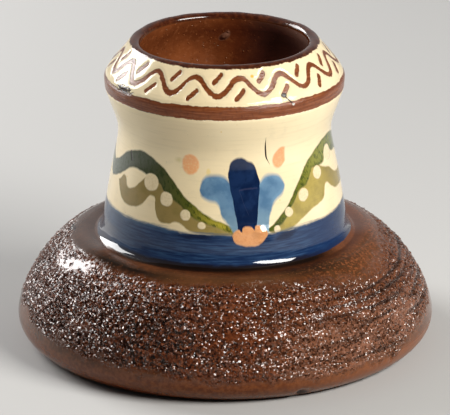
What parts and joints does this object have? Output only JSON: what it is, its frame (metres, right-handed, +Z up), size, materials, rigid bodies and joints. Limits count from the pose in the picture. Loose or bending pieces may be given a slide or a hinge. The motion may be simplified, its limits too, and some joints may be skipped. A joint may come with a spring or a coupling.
{
  "type": "match striker",
  "caption": "Thrown earthenware match striker: a waisted neck with a well for matches, on a broad combed skirt for striking, hollow underneath on a ring foot.",
  "frame": {"origin": "centre of the ring foot's resting plane", "axes": "+Z up the axis of the pot; the middle of the painted front faces -Y"},
  "size_m": [0.1, 0.1, 0.0742],
  "materials": {
    "glazed_red_earthenware": "clear gloss glaze over red clay, with cream slip, painted colours and a roughened skirt"
  },
  "bodies": {
    "root": {"body": "glazed_red_earthenware"}
  },
  "joints": []
}
